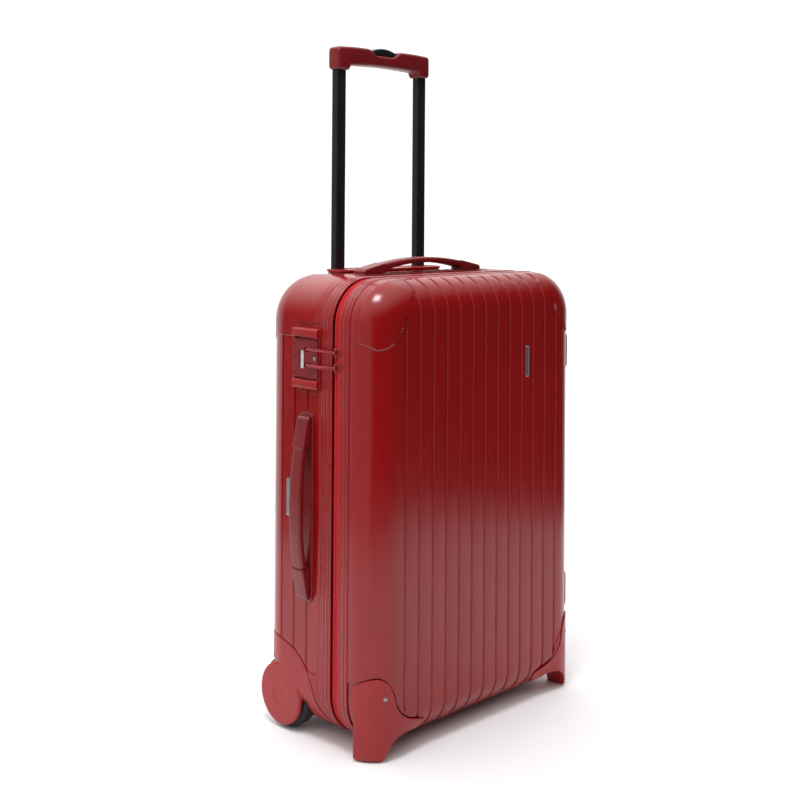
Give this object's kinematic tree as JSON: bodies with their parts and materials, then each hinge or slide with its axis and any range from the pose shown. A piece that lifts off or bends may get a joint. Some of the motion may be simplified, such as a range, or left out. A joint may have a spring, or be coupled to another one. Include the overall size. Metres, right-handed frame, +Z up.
{
  "type": "suitcase",
  "caption": "Upright hard shell suitcase with ribbed shells that open on a zip, a combination lock, carry handles, rear wheels and a telescopic trolley handle.",
  "frame": {"origin": "middle of the bounding box underside, on the floor between the wheels and the front feet", "axes": "+Z up, -Y towards the front shell that opens, +X to the right seen from the front"},
  "size_m": [0.492, 0.2492, 1.025],
  "materials": {
    "shell": "satin-gloss moulded polycarbonate, dark red",
    "trim": "satin moulded plastic, red",
    "zip_tape": "woven polyester tape, bright red",
    "handle": "fine-grained matte plastic, dark red",
    "zip_metal": "red enamelled die-cast metal",
    "black_plastic": "matte black",
    "pole_metal": "black anodised, satin",
    "steel": "plain bright steel",
    "badge": "satin silver, plain",
    "tyre_rubber": "matte",
    "lining": "smooth woven polyester, charcoal",
    "webbing": "ribbed webbing",
    "dial_white": "moulded white"
  },
  "bodies": {
    "case": {"rear_shell": "shell", "rear_rim_trim": "trim", "trolley_bezel": "trim", "lock_housing": "trim", "wheel_housing_left": "trim", "wheel_housing_right": "trim", "side_foot_rear_upper": "trim", "side_foot_rear_lower": "trim", "rear_zip_tape": "zip_tape", "hinge_strip": "zip_tape", "top_handle_plate": "handle", "top_handle_cap_left": "handle", "top_handle_cap_right": "handle", "side_handle_plate": "handle", "side_handle_cap_lower": "handle", "side_handle_cap_upper": "handle", "lock_cover": "handle", "guide_tube_bridge": "black_plastic", "strap_buckle": "black_plastic", "guide_tube_left": "pole_metal", "guide_tube_right": "pole_metal", "axle_left": "steel", "axle_right": "steel", "side_badge": "badge", "rear_lining": "lining", "packing_straps": "webbing"},
    "lid": {"front_shell": "shell", "front_rim_trim": "trim", "front_zip_tape": "zip_tape", "front_lining": "lining", "front_badge": "badge", "front_foot_left": "trim", "front_foot_right": "trim", "foot_rivet_left": "steel", "foot_rivet_right": "steel", "side_foot_front_upper": "trim", "side_foot_front_lower": "trim"},
    "trolley": {"trolley_pole_left": "pole_metal", "trolley_pole_right": "pole_metal", "trolley_grip": "handle", "button_spring": "steel"},
    "push_button": {"trolley_button": "black_plastic", "push_rod_left": "steel", "push_rod_right": "steel"},
    "wheel_left": {"tyre_left": "tyre_rubber", "wheel_hub_left": "black_plastic", "bearing_left": "steel"},
    "wheel_right": {"tyre_right": "tyre_rubber", "wheel_hub_right": "black_plastic", "bearing_right": "steel"},
    "top_handle": {"top_handle_grip": "handle"},
    "side_handle": {"side_handle_grip": "handle"},
    "slider_upper": {"zip_slider_upper": "zip_metal"},
    "slider_lower": {"zip_slider_lower": "zip_metal"},
    "pull_upper": {"zip_pull_upper": "zip_metal"},
    "pull_lower": {"zip_pull_lower": "zip_metal"},
    "release": {"lock_release": "steel"},
    "dial_1": {"number_dial_1": "dial_white"},
    "dial_2": {"number_dial_2": "dial_white"},
    "dial_3": {"number_dial_3": "dial_white"}
  },
  "joints": [
    {"name": "lid_hinge", "type": "hinge", "parent": "case", "child": "lid", "pos_m": [0.239, -0.0434, 0.345], "axis": [0, 0, 1], "range_deg": [0, 165]},
    {"name": "trolley_slide", "type": "slide", "parent": "case", "child": "trolley", "axis": [0, 0, 1], "range_m": [-0.313, 0]},
    {"name": "trolley_button_press", "type": "slide", "parent": "trolley", "child": "push_button", "axis": [0, 0, -1], "range_m": [0, 0.004], "stiffness_N_per_m": 1500, "springref_m": -0.002, "deforming": ["button_spring"]},
    {"name": "wheel_left_spin", "type": "hinge", "parent": "case", "child": "wheel_left", "pos_m": [-0.2005, 0.0746, 0.05], "axis": [1, 0, 0], "continuous": true},
    {"name": "wheel_right_spin", "type": "hinge", "parent": "case", "child": "wheel_right", "pos_m": [0.2165, 0.0746, 0.05], "axis": [1, 0, 0], "continuous": true},
    {"name": "top_handle_lift", "type": "slide", "parent": "case", "child": "top_handle", "axis": [0, 0, 1], "range_m": [0, 0.004], "stiffness_N_per_m": 300, "springref_m": -0.002},
    {"name": "side_handle_lift", "type": "slide", "parent": "case", "child": "side_handle", "axis": [-1, 0, 0], "range_m": [0, 0.004], "stiffness_N_per_m": 300, "springref_m": -0.002},
    {"name": "slider_upper_slide", "type": "slide", "parent": "case", "child": "slider_upper", "axis": [0, 0, 1], "range_m": [0, 0.03]},
    {"name": "slider_lower_slide", "type": "slide", "parent": "case", "child": "slider_lower", "axis": [0, 0, -1], "range_m": [0, 0.03]},
    {"name": "pull_upper_swing", "type": "hinge", "parent": "slider_upper", "child": "pull_upper", "pos_m": [-0.2244, -0.0434, 0.562], "axis": [0, 0, 1], "range_deg": [0, 90]},
    {"name": "pull_lower_swing", "type": "hinge", "parent": "slider_lower", "child": "pull_lower", "pos_m": [-0.2244, -0.0434, 0.54], "axis": [0, 0, 1], "range_deg": [0, 90]},
    {"name": "release_press", "type": "slide", "parent": "case", "child": "release", "axis": [1, 0, 0], "range_m": [0, 0.0015], "stiffness_N_per_m": 400, "springref_m": -0.001},
    {"name": "dial_1_turn", "type": "hinge", "parent": "case", "child": "dial_1", "pos_m": [-0.2185, 0.0266, 0.556], "axis": [0, 0, 1], "continuous": true},
    {"name": "dial_2_turn", "type": "hinge", "parent": "case", "child": "dial_2", "pos_m": [-0.2185, 0.0266, 0.547], "axis": [0, 0, 1], "continuous": true},
    {"name": "dial_3_turn", "type": "hinge", "parent": "case", "child": "dial_3", "pos_m": [-0.2185, 0.0266, 0.538], "axis": [0, 0, 1], "continuous": true}
  ],
  "couplings": [
    {"joint": "pull_upper_swing", "follows": "slider_upper_slide", "rad_per_m": 52},
    {"joint": "pull_lower_swing", "follows": "slider_lower_slide", "rad_per_m": 52}
  ]
}
